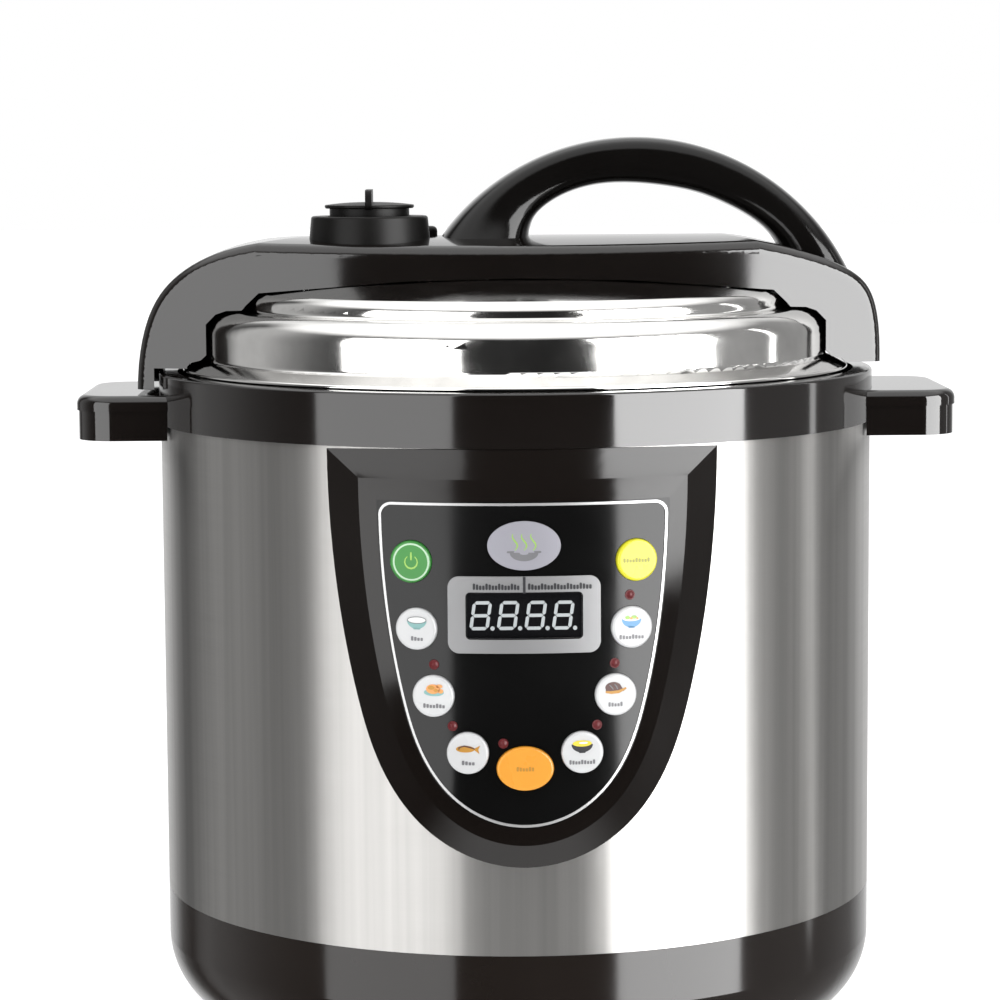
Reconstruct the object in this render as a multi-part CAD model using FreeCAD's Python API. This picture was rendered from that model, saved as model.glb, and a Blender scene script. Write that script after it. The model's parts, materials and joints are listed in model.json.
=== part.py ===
"""Electric pressure cooker, built from separate pieces.

Frame: millimetres, +Z up, the control panel faces -Y. The origin lies on the
standing surface under the pot's vertical centre line. At rest the lid is shut
but not locked, with its bridge in line with the two side handles; turning it
clockwise by LOCK_TURN slides its teeth under the lugs of the pressure shell.
"""
import FreeCAD, Part
import math
import os

V = FreeCAD.Vector
UP, FRONT = V(0, 0, 1), V(0, -1, 0)

# ---- driving dimensions ----------------------------------------------------
BODY_R, SKIN = 137.0, 0.8                 # steel wrapper, outside radius and gauge
Z_BASE_TOP, Z_STEEL_TOP = 58.0, 238.0
COLLAR_R, Z_COLLAR_TOP = 137.7, 257.2
SIDE_REACH, SIDE_HALF = 167.0, 41.0       # side handles: reach in X, half width in Y
Z_HANDLE_LOW, Z_HANDLE_TOP = 232.9, 249.8

PSHELL_R, PSHELL_T = 116.0, 1.5           # pressure shell that takes the locking load
Z_PSHELL_LOW, Z_PSHELL_TOP = 73.5, 249.0
LUG_R, LUG_H, TEETH = 122.5, 3.0, 10
LOCK_TURN = 180.0 / TEETH
POT_R, POT_T, POT_RIM_R = 112.0, 1.2, 117.0
Z_POT_LOW, Z_POT_RIM = 90.0, 250.3

LID_T = 1.4
FLANGE_R, BAND_R, CROWN_R = 128.0, 119.9, 105.3
Z_FLANGE, Z_BAND_LOW, Z_BAND_TOP = 256.7, 262.0, 271.4
Z_LEDGE, Z_CROWN_TOP, Z_APEX, DOME_R = 280.6, 286.7, 294.2, 743.0
BRIDGE_HALF, BRIDGE_WALL, Z_BRIDGE = 46.0, 2.8, 308.2
BRIDGE_PLAN_R = 450.0                     # its front and back bulge to this radius in plan
BRIDGE_CROWN = 3.5                        # the bridge's top falls this much to each side
BRIDGE_ROUND = 5.0                        # radius between its top and its front and back
ARCH_X, ARCH_R, ARCH_TOP = 46.0, 92.0, 345.5

VALVE_X, VALVE_Y = -55.5, -14.0
FLOAT_X, FLOAT_Y, FLOAT_LIFT = -35.5, 9.5, 4.0

RIM_R, FACE_R, FACE_T = 140.6, 139.6, 2.0       # the panel is curved about the body's axis
BOARD_R, BOARD_T = 130.0, 1.6
PRESS = 0.8                               # button travel
BUTTON_R = 7.4
GAP = 0.05                                # nominal gap between touching pieces

os.makedirs("parts", exist_ok=True)


# ---- helpers ---------------------------------------------------------------
def save(name, shape):
    shape.exportStep("parts/" + name + ".step")


def cyl(r, z0, z1, x=0.0, y=0.0):
    return Part.makeCylinder(r, z1 - z0, V(x, y, z0), UP)


def tube(r_in, r_out, z0, z1, x=0.0, y=0.0):
    return cyl(r_out, z0, z1, x, y).cut(cyl(r_in, z0 - 1, z1 + 1, x, y))


def ycyl(r, y0, y1, x, z):
    return Part.makeCylinder(r, abs(y1 - y0), V(x, max(y0, y1), z), FRONT)


def box(x0, x1, y0, y1, z0, z1):
    return Part.makeBox(x1 - x0, y1 - y0, z1 - z0, V(x0, y0, z0))


def round_box(x0, x1, y0, y1, z0, z1, r, axis="z"):
    """A box whose four edges along one axis are rounded."""
    b = box(x0, x1, y0, y1, z0, z1)
    along = [e for e in b.Edges if abs(getattr(e.tangentAt(e.FirstParameter), axis)) > 0.99]
    return b.makeFillet(r, along)


def turned(shape, degrees, centre=V(0, 0, 0)):
    s = shape.copy()
    s.rotate(centre, UP, degrees)
    return s


def polar(r, degrees):
    a = math.radians(degrees)
    return r * math.cos(a), r * math.sin(a)


def outline(*steps):
    """Edges through (r, z) points; a step of two points is an arc's middle and end."""
    edges, here = [], V(steps[0][0], 0, steps[0][1])
    for step in steps[1:]:
        if isinstance(step[0], tuple):
            mid, end = (V(p[0], 0, p[1]) for p in step)
            edges.append(Part.Arc(here, mid, end).toShape())
        else:
            end = V(step[0], 0, step[1])
            edges.append(Part.makeLine(here, end))
        here = end
    return edges


def lathe(*steps):
    """Solid of revolution about Z from a closed (r, z) outline."""
    edges = outline(*steps, steps[0])
    return Part.Face(Part.Wire(edges)).revolve(V(0, 0, 0), UP, 360)


def spline(points):
    curve = Part.BSplineCurve()
    curve.interpolate([V(x, 0, z) for x, z in points])
    return curve.toShape()


def prism_y(edges, y0, y1):
    """Closed XZ outline pushed from y0 to y1."""
    face = Part.Face(Part.Wire(edges))
    face.translate(V(0, y0, 0))
    return face.extrude(V(0, y1 - y0, 0))


def polygon(points):
    loop = list(points) + [points[0]]
    return [Part.makeLine(V(a[0], 0, a[1]), V(b[0], 0, b[1])) for a, b in zip(loop, loop[1:])]


def fused(*shapes):
    return shapes[0].multiFuse(list(shapes[1:])).removeSplitter()


def drill(shape, *tools):
    return shape.cut(Part.makeCompound(list(tools)))


def group(shapes):
    return Part.makeCompound(list(shapes))


def sector(r_in, r_out, z0, z1, degrees, middle):
    """Piece of a ring, centred on the angle `middle`."""
    part = Part.makeCylinder(r_out, z1 - z0, V(0, 0, z0), UP, degrees)
    part = part.cut(cyl(r_in, z0 - 1, z1 + 1))
    return turned(part, middle - degrees / 2)


def screw(r_head, h_head, r_shaft, length, place, direction):
    """Pan-head screw with a cross recess; `place` is under the head, `direction` the shaft's."""
    long, narrow, top = 0.62 * r_head, 0.16 * r_head, -0.5 * h_head
    cross = box(-long, long, -narrow, narrow, -h_head - 1, top).fuse(
        box(-narrow, narrow, -long, long, -h_head - 1, top))
    part = fused(cyl(r_head, -h_head, 0).cut(cross), cyl(r_shaft, 0, length))
    part.Placement = FreeCAD.Placement(V(place), FreeCAD.Rotation(UP, V(direction)))
    return part


def hex_nut(across, z0, z1, x, y, bore):
    r = across / math.sqrt(3)
    pts = [V(x + r * math.cos(k * math.pi / 3), y + r * math.sin(k * math.pi / 3), z0)
           for k in range(7)]
    body = Part.Face(Part.makePolygon(pts)).extrude(V(0, 0, z1 - z0))
    return body.cut(cyl(bore, z0 - 1, z1 + 1, x, y))


def wire_lead(r, points):
    """Insulated lead laid in straight runs with rounded corners."""
    pts = [V(*p) for p in points]
    runs = [Part.makeCylinder(r, (q - p).Length, p, q - p) for p, q in zip(pts, pts[1:])]
    return fused(*runs, *[Part.makeSphere(r, p) for p in pts[1:-1]])


# ---- base ------------------------------------------------------------------
POST_R, POSTS = 104.0, (30, 150, 270)
Z_FLOOR = 8.0
base = lathe((136.1, 64), (136.1, Z_BASE_TOP), (BODY_R, Z_BASE_TOP), (BODY_R, 38),
             ((132.9, 23.5), (120.8, 11.8)), (119.8, 10.4), (118.6, 10), (118, 2.5),
             (113, 2.5), (113, 5), (0, 5), (0, Z_FLOOR), (114.5, Z_FLOOR), (118.0, 13.5),
             ((129.6, 25.5), (133.4, 40)), (133.4, 64))
posts = [cyl(5, Z_FLOOR - 1, 66 - GAP, *polar(POST_R, a)) for a in POSTS]
BOARD_X, BOARD_Y0, BOARD_Y1 = 48.0, 12.0, 76.0
corners = [(sx * (BOARD_X - 5), y) for sx in (-1, 1) for y in (BOARD_Y0 + 5, BOARD_Y1 - 5)]
posts += [cyl(3.5, Z_FLOOR - 1, 16 - GAP, x, y) for x, y in corners]
posts += [cyl(3.5, Z_FLOOR - 1, 48 - GAP, -62, -48)]
inlet_boss = box(-19, 19, 112, 140, 19, 53)
base = fused(base, inlet_boss, *posts)
inlet_room = box(-14.2, 14.2, 100, 141, 25.8, 46.2)
vents = [turned(round_box(52, 80, -1.6, 1.6, 4, 9, 1.5), 180 + 22.5 * k) for k in range(1, 8)]
vents += [turned(round_box(86, 104, -1.6, 1.6, 4, 9, 1.5), 191.25 + 22.5 * k)
          for k in (1, 2, 4, 5, 6)]
FEET = [polar(107.5, a) for a in (45, 135, 225, 315)]
FOOT_SCREWS = [polar(POST_R, a) for a in POSTS]
feet_pockets = [cyl(8, 0, 5, x, y) for x, y in FEET]
base = drill(base, inlet_room, *vents, *feet_pockets,
             *[cyl(1.6, 50, 70, *polar(POST_R, a)) for a in POSTS],
             *[cyl(2.2, 0, 20, x, y) for x, y in FOOT_SCREWS],
             *[cyl(4.5, 0, 7, x, y) for x, y in FOOT_SCREWS],
             *[cyl(1.3, 12, 17, x, y) for x, y in corners],
             *[ycyl(1.5, 130, 141, sx * 16.6, 36) for sx in (-1, 1)])
save("base", base)
feet = [fused(cyl(9, 0, 2.5 - GAP, x, y), cyl(8 - GAP, 2.3, 5 - GAP, x, y)) for x, y in FEET]
save("rubber_feet", group(f.makeFillet(0.8, [e for e in f.Edges if e.BoundBox.ZMax < 0.01])
                          for f in feet))
chassis = [screw(4, 2.4, 2, 11, (x, y, 7), (0, 0, 1)) for x, y in FOOT_SCREWS]

# ---- steel wrapper, collar and side handles --------------------------------
SHIELD_SIDE = [(0.995, 0.90), (0.95, 0.657), (0.848, 0.402), (0.717, 0.222), (0.517, 0.095),
               (0.25, 0.020)]


def shield_side(half_width, z_tip, z_top):
    """Curve from the upper right corner down to the tip and up to the upper left corner."""
    h = z_top - z_tip
    right = [(half_width * a, z_tip + h * t) for a, t in [(1, 1)] + SHIELD_SIDE]
    left = [(-x, z) for x, z in reversed(right)]
    return spline(right + [(0, z_tip)] + left)


def shield_prism(half_width, z_tip, z_top, corner=0.0):
    """Shield outline pushed through the front of the body."""
    top = Part.makeLine(V(-half_width, 0, z_top), V(half_width, 0, z_top))
    solid = prism_y([shield_side(half_width, z_tip, z_top), top], -160, -100)
    if corner:
        upright = [e for e in solid.Edges if e.BoundBox.ZMin > z_top - 1 and e.BoundBox.YLength > 59
                   and e.BoundBox.XLength < 1]
        solid = solid.makeFillet(corner, upright)
    return solid


def wrapped(r, half_width, z_tip, z_top):
    """The same outline laid on a cylinder of radius r: its top arc and its side curve."""
    def on(x, z):
        return V(x, -math.sqrt(r * r - x * x), z)
    flat = shield_side(half_width, z_tip, z_top)
    first, last = flat.FirstParameter, flat.LastParameter
    count = 40
    pts = [flat.valueAt(first + (last - first) * k / count) for k in range(count + 1)]
    side = Part.BSplineCurve()
    side.interpolate([on(q.x, q.z) for q in pts])
    top = Part.Arc(on(-half_width, z_top), on(0, z_top), on(half_width, z_top))
    return side.toShape(), top.toShape()


def shield_plate(r_in, r_out, *size):
    """Curved plate of shield outline between two radii."""
    return shield_prism(*size).common(tube(r_in, r_out, 60, 240))


def radial(shape, x, r=None):
    """Turns a piece made facing -Y at x = 0 round to face outwards at x."""
    return turned(shape, math.degrees(math.asin(x / (r or FACE_R))))


WINDOW = (49.5, 106.5, 217.8)
CUP_X, CUP_Y0, CUP_Y1, CUP_Z0, CUP_Z1 = 26.0, 141.0, 165.0, 168.0, 226.0
bracket_screws = [(sx * 16, z) for sx in (-1, 1) for z in (190, 212)]
wrapper = tube(BODY_R - SKIN, BODY_R, Z_BASE_TOP + GAP, Z_STEEL_TOP - GAP)
wrapper = drill(wrapper, shield_prism(*WINDOW),
                *[ycyl(1.7, 130, 140, x, z) for x, z in bracket_screws])
save("outer_shell", wrapper)

Z_TROUGH = 237.0
collar = lathe((COLLAR_R, 238), (COLLAR_R, 256.2), ((COLLAR_R - 0.3, 256.9), (COLLAR_R - 1, 257.2)),
               (130.5, Z_COLLAR_TOP), (130.5, 254.7), (134.7, 254.7), (134.7, Z_TROUGH),
               (118.6, Z_TROUGH), (118.6, 239.4), (117, 239.4), (117, 234.5), (133, 234.5),
               (133, 229), (136.1, 229), (136.1, 238))
spout = fused(round_box(-9, 9, 132, 156, 238.2, 246, 3), cyl(5.5, 230, 239, 0, 149))
spout = spout.cut(cyl(COLLAR_R - 1.5, 229, 250))
collar = fused(collar, spout)
SCREW_SIDE = [(a + d) for a in (0, 180) for d in (-9, 9)]
collar = drill(collar, box(-5, 5, 130, 152, 239.5, 244.2), cyl(3.2, 228, 243, 0, 149),
               *[turned(Part.makeCylinder(1.7, 20, V(128, 0, 243.5), V(1, 0, 0)), a)
                 for a in SCREW_SIDE])
save("upper_collar", collar)


def side_handle(sign):
    """Grip plate with a shallow skirt under it, open below for the fingers."""
    def plan(inset, z0, z1):
        blank = box(100, SIDE_REACH - inset, -SIDE_HALF + inset, SIDE_HALF - inset, z0, z1)
        outer = [e for e in blank.Edges if abs(e.tangentAt(0).z) > 0.99
                 and e.BoundBox.XMin > SIDE_REACH - inset - 1]
        return blank.makeFillet(15 - inset, outer)
    top = plan(0, 244.0, Z_HANDLE_TOP)
    rim = [e for e in top.Edges if e.BoundBox.ZMin > Z_HANDLE_TOP - 0.01
           and e.BoundBox.XMax > 110]
    top = top.makeFillet(3.6, rim)
    skirt = plan(0.7, Z_HANDLE_LOW, 244.5).cut(plan(3.9, Z_HANDLE_LOW - 1, 244.1))
    root = plan(0.7, Z_HANDLE_LOW + 1.5, 244.5).common(tube(130, 142, 220, 260))
    grip = fused(top, skirt, root).cut(cyl(COLLAR_R + GAP, 200, 300))
    holes = [turned(Part.makeCylinder(1.45, 12, V(130, 0, 243.5), V(1, 0, 0)), a) for a in (-9, 9)]
    grip = drill(grip, *holes)
    return grip if sign > 0 else turned(grip, 180)


save("right_handle", side_handle(1))
save("left_handle", side_handle(-1))
wrapper_screws = [turned(screw(3, 1.8, 1.4, 7.0, (134.7 - GAP, 0, 243.5), (1, 0, 0)), a)
                  for a in SCREW_SIDE]

# ---- condensation cup at the back ------------------------------------------
cup = round_box(-CUP_X, CUP_X, CUP_Y0, CUP_Y1, CUP_Z0, CUP_Z1, 5)
cup = cup.makeFillet(2, [e for e in cup.Edges if e.BoundBox.ZMax < CUP_Z0 + 0.01])
hollow = round_box(-CUP_X + 1.6, CUP_X - 1.6, CUP_Y0 + 1.6, CUP_Y1 - 1.6, CUP_Z0 + 1.6,
                   CUP_Z1 + 1, 3.4)
tab = round_box(-9, 9, CUP_Y1 - 1, CUP_Y1 + 6, CUP_Z1 - 3, CUP_Z1 - 0.6, 2.4)
save("condensation_cup", fused(cup.cut(hollow), tab.cut(hollow)))
bracket = fused(box(-30, 30, 130, CUP_Y0 - 0.6, 182, 220),
                *[box(min(s * 26.4, s * 30), max(s * 26.4, s * 30), 136, CUP_Y0 + 13, 184, 218)
                  for s in (-1, 1)],
                box(-30, 30, 136, CUP_Y0 + 14, 164.6, 167.6), box(-30, 30, 134, 140.4, 165, 190))
bracket = bracket.cut(cyl(BODY_R + GAP, 100, 300))
bracket = drill(bracket, *[ycyl(1.3, 130, 145, x, z) for x, z in bracket_screws])
save("cup_bracket", bracket)
wrapper_screws += [
    screw(3, 1.6, 1.2, 5.2, (x, math.sqrt((BODY_R - SKIN) ** 2 - (abs(x) + 3) ** 2) - GAP, z),
          (0, 1, 0)) for x, z in bracket_screws]
save("wrapper_screws", group(wrapper_screws))

# ---- pressure shell with its locking lugs ----------------------------------
ELEMENT_R, ELEMENT_WIRE, Z_ELEMENT = 62.0, 4.0, 80.0
LEG_ANGLES = (75, 105)
NUT_R = 40.0
r_out, r_in, z_low = PSHELL_R, PSHELL_R - PSHELL_T, Z_PSHELL_LOW
pshell = lathe((0, z_low), (r_out - 12, z_low), ((r_out - 3.5, z_low + 3.5), (r_out, z_low + 12)),
               (r_out, Z_PSHELL_TOP), (r_in, Z_PSHELL_TOP), (r_in, z_low + 12),
               ((r_in - 3.1, z_low + 4.6), (r_in - 10.5, z_low + PSHELL_T)),
               (0, z_low + PSHELL_T))
lugs = [sector(PSHELL_R - 0.5, LUG_R, Z_PSHELL_TOP - LUG_H, Z_PSHELL_TOP, 17,
               k * 360 / TEETH) for k in range(TEETH)]
pshell = fused(pshell, *lugs)
pshell = drill(pshell, cyl(6.5, 60, 80), *[cyl(5, 60, 80, *polar(ELEMENT_R, a)) for a in LEG_ANGLES])
save("pressure_shell", pshell)

# ---- heating plate, element and sprung sensor ------------------------------
Z_SHELL_FLOOR = Z_PSHELL_LOW + PSHELL_T
plate = lathe((18, 78), (90, 78), (92, 80), (92, Z_POT_LOW - 3), ((91.2, 89.2), (89, Z_POT_LOW - GAP)),
              (18, Z_POT_LOW - GAP))
plate = fused(plate, *[cyl(6, Z_SHELL_FLOOR + GAP, 79, *polar(82, a)) for a in (30, 150, 270)])
plate = plate.cut(Part.makeTorus(ELEMENT_R, ELEMENT_WIRE + GAP, V(0, 0, Z_ELEMENT), UP))
plate = drill(plate, *[cyl(5, 70, Z_ELEMENT, *polar(ELEMENT_R, a)) for a in LEG_ANGLES])
save("heating_plate", plate)
sweep = 360 - (LEG_ANGLES[1] - LEG_ANGLES[0])
section = Part.Face(Part.Wire(Part.makeCircle(ELEMENT_WIRE, V(ELEMENT_R, 0, Z_ELEMENT), V(0, 1, 0))))
element = turned(section.revolve(V(0, 0, 0), UP, sweep), LEG_ANGLES[1])
legs = []
for a in LEG_ANGLES:
    x, y = polar(ELEMENT_R, a)
    legs += [Part.makeSphere(ELEMENT_WIRE, V(x, y, Z_ELEMENT)), cyl(3, 58, Z_ELEMENT, x, y),
             box(x - 3.2, x + 3.2, y - 0.4, y + 0.4, 50, 59)]
save("heating_element", fused(element, *legs))
SENSOR_TRAVEL = 2.0
sensor = fused(lathe((0, 86), (11, 86), (11, 89), ((10.7, 89.65), (10, Z_POT_LOW - GAP)),
                     (0, Z_POT_LOW - GAP)), cyl(3, 60, 86.5))
save("temp_sensor", sensor)
helix = Part.makeHelix(2.4, 9.8, 7.0)
coil = Part.Wire(helix).makePipeShell(
    [Part.Wire(Part.makeCircle(0.55, V(7, 0, 0), V(0, 1, 0)))], True, True)
coil.translate(V(0, 0, Z_SHELL_FLOOR + 0.6))
save("sensor_spring", coil)

# ---- spring plate, pressure switch and cut-outs below the shell ------------
Z_SPRING = 66.0
disc = cyl(112, Z_SPRING, Z_SPRING + 1.2).cut(cyl(20, 60, 70))
arms = [sector(50, 92, 60, 70, 52, a + 60) for a in POSTS]
disc = drill(disc, *arms, *[cyl(9, 60, 70, *polar(ELEMENT_R, a)) for a in LEG_ANGLES],
             *[cyl(1.8, 60, 70, *polar(POST_R, a)) for a in POSTS],
             *[cyl(2.2, 60, 70, *polar(NUT_R, a)) for a in POSTS])
save("spring_plate", disc)
chassis += [screw(3.4, 2.2, 1.5, 12, (*polar(POST_R, a), Z_SPRING + 1.2 + GAP), (0, 0, -1))
            for a in POSTS]
chassis += [hex_nut(9, Z_SPRING + 1.2 + GAP, Z_PSHELL_LOW - GAP, *polar(NUT_R, a), 2.1)
            for a in POSTS]
switch = fused(box(-71, -53, -54, -42, 48, 60), cyl(2, 60, 64.6, -62, -48),
               *[box(x - 0.4, x + 0.4, -58, -53, 50, 56) for x in (-67, -57)])
save("pressure_switch", switch)
fuse_x, fuse_y = polar(119.6, 205)
fuse = fused(cyl(2.6, 118, 140, fuse_x, fuse_y), cyl(0.7, 104, 154, fuse_x, fuse_y))
clip = tube(2.65, 3.4, 124, 134, fuse_x, fuse_y)
clip = fused(clip, turned(box(PSHELL_R + GAP, PSHELL_R + 0.95, -8, 8, 124, 134), 205))
clip = clip.cut(cyl(PSHELL_R + GAP, 100, 200)).cut(cyl(2.65, 100, 200, fuse_x, fuse_y))
save("thermal_fuse", group([fuse, clip]))

# ---- power board and inlet -------------------------------------------------
Z_PCB = 16.0
pcb = box(-BOARD_X, BOARD_X, BOARD_Y0, BOARD_Y1, Z_PCB, Z_PCB + BOARD_T)
pcb = drill(pcb, *[cyl(1.7, 10, 20, x, y) for x, y in corners])
save("power_board", pcb)
top = Z_PCB + BOARD_T + GAP
save("power_components", group([
    round_box(-34, -6, 40, 64, top, top + 21, 2), box(2, 21, 48, 63, top, top + 15),
    box(2, 21, 28, 43, top, top + 15), cyl(6, top, top + 17, -26, 26), cyl(4, top, top + 12, -12, 24),
    round_box(28, 40, 30, 36, top, top + 9, 1), box(28, 40, 50, 64, top, top + 8),
    cyl(2.6, top, top + 6, 34, 43)]))
board_screws = [screw(2.6, 1.6, 1.25, 5, (x, y, Z_PCB + BOARD_T + GAP), (0, 0, -1))
                for x, y in corners]
inlet = fused(round_box(-21, 21, 140 + GAP, 142.4, 24, 48, 4, "y"),
              round_box(-14, 14, 122, 141, 26, 46, 3, "y"))
mouth = prism_y(polygon([(-12.2, 28), (12.2, 28), (12.2, 40.5), (8.6, 44.2), (-8.6, 44.2),
                         (-12.2, 40.5)]), 126, 145)
inlet = drill(inlet, mouth, *[ycyl(1.7, 138, 146, s * 16.6, 36) for s in (-1, 1)])
pins = [round_box(x - 1, x + 1, 117, 139, z - 2.4, z + 2.4, 0.6, "y")
        for x, z in ((-7, 34.5), (7, 34.5), (0, 38.6))]
save("power_inlet", drill(inlet, *pins))
save("inlet_pins", group(pins))
chassis += [screw(2.8, 1.6, 1.4, 9, (s * 16.6, 142.4 + GAP, 36), (0, -1, 0)) for s in (-1, 1)]
save("chassis_fasteners", group(chassis))

# ---- control panel ---------------------------------------------------------
# Four outlines make the bezel's section: its outer foot, sunk inside the wrapper's surface
# and cut back to it, the front ridge, the foot of the inner bevel and the inner wall.
OUTER, RIM, FACE = (70.0, 90.0, 238.0), (57.7, 98.5, 227.5), (51.2, 104.4, 219.8)
SUNK_R, FOOT_R, REACH = 131.0, 136.0, 1.3
foot = tuple(a + (b - a) * REACH for a, b in zip(RIM, OUTER))
loops = [wrapped(FOOT_R, *foot), wrapped(RIM_R, *RIM), wrapped(FACE_R, *FACE),
         wrapped(SUNK_R, *FACE)]
skin = [Part.makeRuledSurface(a, b) for one, two in zip(loops, loops[1:] + loops[:1])
        for a, b in zip(one, two)]
bezel = Part.Shell(Part.makeCompound(skin).Faces)
bezel.sewShape()
bezel = Part.Solid(bezel)
if bezel.Volume < 0:
    bezel.reverse()
bezel = bezel.cut(cyl(BODY_R + GAP, 0, 300)).cut(box(-120, 120, -160, 0, Z_STEEL_TOP - 2 * GAP, 300))
bezel = max(bezel.Solids, key=lambda s: s.Volume)
save("panel_bezel", bezel)

BUTTONS = {"power": (-39.3, 198.6), "cancel": (39.3, 198.6), "rice": (-37.5, 175.0),
           "vegetable": (37.5, 175.0), "chicken": (-31.8, 151.4), "beef": (31.8, 151.4),
           "fish": (-20.0, 131.4), "porridge": (20.0, 131.4), "start": (0.0, 126.0)}
LEDS = [(37.0, 186.3), (31.6, 162.4), (25.3, 140.8), (-7.6, 134.8), (-25.3, 140.8), (-31.6, 162.4)]
START_A, START_B = 10.0, 7.8              # half axes of the oval start button
DISPLAY_X, DISPLAY_Z0, DISPLAY_Z1 = 20.0, 172.0, 187.6
BADGE = (0.0, 204.5, 12.8, 8.6)
FACE_BACK = FACE_R - FACE_T


def oval(z, a, b, r0, r1):
    """Elliptical plug at x = 0 between two radii, its long axis level."""
    face = Part.Face(Part.Wire(Part.Ellipse(V(0, 0, 0), a, b).toShape()))
    face.rotate(V(0, 0, 0), V(1, 0, 0), 90)
    face.translate(V(0, -r0, z))
    return face.extrude(V(0, r0 - r1, 0))


def plug(r, r0, r1, x, z):
    """Round plug pointing outwards at (x, z), from radius r0 to r1."""
    return radial(ycyl(r, -r0, -r1, 0, z), x)


POSTS_FACE = [(sx * x, z) for sx in (-1, 1) for x, z in ((43.5, 211.5), (31.5, 133.5))]
clear_face = (FACE[0] - GAP, FACE[1] + GAP, FACE[2] - GAP)
face = shield_plate(FACE_BACK, FACE_R - 0.05, *clear_face)
face = fused(face, *[plug(2.6, BOARD_R + BOARD_T + GAP, FACE_BACK + 0.5, x, z)
                     for x, z in POSTS_FACE])
cutters = [plug(BUTTON_R + 0.2, FACE_BACK - 2, 150, x, z)
           for name, (x, z) in BUTTONS.items() if name != "start"]
cutters += [oval(BUTTONS["start"][1], START_A + 0.2, START_B + 0.2, FACE_BACK - 2, 150)]
cutters += [plug(1.85, FACE_BACK - 2, 150, x, z) for x, z in LEDS]
cutters += [box(-DISPLAY_X, DISPLAY_X, -150, -130, DISPLAY_Z0, DISPLAY_Z1)]
cutters += [plug(1.1, BOARD_R, BOARD_R + 6.5, x, z) for x, z in POSTS_FACE]
save("panel_face", drill(face, *cutters))
line = shield_prism(FACE[0] - 0.5, FACE[1] + 0.5, FACE[2] - 0.5, 4.5)
line = line.cut(shield_prism(FACE[0] - 1.4, FACE[1] + 1.4, FACE[2] - 1.4, 3.7))
save("panel_frame", line.common(tube(FACE_R, FACE_R + 0.3, 60, 240)))

label = round_box(-26.7, 26.7, -145, -130, 166.6, 193.7, 4, "y")
label = label.cut(box(-DISPLAY_X, DISPLAY_X, -150, -130, DISPLAY_Z0, DISPLAY_Z1))
save("display_label", label.common(tube(FACE_R, FACE_R + 0.35, 60, 240)))
MODULE_Y = -137.9
module = box(-DISPLAY_X + GAP, DISPLAY_X - GAP, MODULE_Y, -120, DISPLAY_Z0 + GAP, DISPLAY_Z1 - GAP)
save("display_module", module.cut(cyl(BOARD_R + BOARD_T + GAP, 100, 300)))

DIGIT_H, DIGIT_W, DIGIT_PITCH, STROKE = 10.2, 5.6, 9.6, 1.15
SLANT = math.tan(math.radians(8))


def bar(ax, az, bx, bz):
    """One lit segment between two ends, with pointed tips, leaning like the digit."""
    length = math.hypot(bx - ax, bz - az)
    ux, uz = (bx - ax) / length, (bz - az) / length
    nx, nz, s, tip = -uz, ux, STROKE / 2, STROKE / 2 + 0.12
    pts = [(ax + ux * (tip - s), az + uz * (tip - s)),
           (ax + ux * tip + nx * s, az + uz * tip + nz * s),
           (bx - ux * tip + nx * s, bz - uz * tip + nz * s),
           (bx - ux * (tip - s), bz - uz * (tip - s)),
           (bx - ux * tip - nx * s, bz - uz * tip - nz * s),
           (ax + ux * tip - nx * s, az + uz * tip - nz * s)]
    return polygon([(x + z * SLANT, z) for x, z in pts])


segments = []
for k in range(4):
    w, h = DIGIT_W / 2, DIGIT_H / 2 - STROKE / 2
    bars = [bar(-w, z, w, z) for z in (-h, 0, h)]
    bars += [bar(x, z, x, z + h) for x in (-w, w) for z in (-h, 0)]
    cx, cz = (k - 1.5) * DIGIT_PITCH - 0.8, (DISPLAY_Z0 + DISPLAY_Z1) / 2
    for edges in bars:
        s = prism_y(edges, MODULE_Y - 0.25, MODULE_Y - GAP)
        s.translate(V(cx, 0, cz))
        segments.append(s)
    segments.append(ycyl(0.75, MODULE_Y - 0.25, MODULE_Y - GAP, cx + w + 1.3, cz - h))
save("display_segments", group(segments))
bx, bz, ba, bb = BADGE
badge = oval(bz, ba, bb, 130, 150).common(tube(FACE_R, FACE_R + 0.7, 60, 240))
save("oval_badge", badge)

CAP_R, STEM_END = 141.3, 135.1
flange_r = FACE_BACK - 0.25               # the flange lies behind the curved face plate
for name, (x, z) in BUTTONS.items():
    if name == "start":
        cap = oval(z, START_A, START_B, flange_r - 1.2, CAP_R)
        flange = oval(z, START_A + 0.9, START_B + 0.9, flange_r - 1.5, flange_r - 0.5)
    else:
        cap = ycyl(BUTTON_R, -(flange_r - 1.2), -CAP_R, 0, z)
        flange = ycyl(BUTTON_R + 0.9, -(flange_r - 1.5), -(flange_r - 0.5), 0, z)
    cap = cap.makeFillet(1.0, [e for e in cap.Edges if e.BoundBox.YMax < 0.01 - CAP_R])
    stem = ycyl(2, -STEM_END, -(flange_r - 0.6), 0, z)
    save("button_" + name, radial(fused(cap, flange, stem), x))
save("indicator_leds", group(
    radial(fused(ycyl(1.75, -(BOARD_R + BOARD_T + GAP), -(FACE_R + 0.2), 0, z),
                 Part.makeSphere(1.75, V(0, -FACE_R + 0.9, z))), x) for x, z in LEDS))

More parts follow.
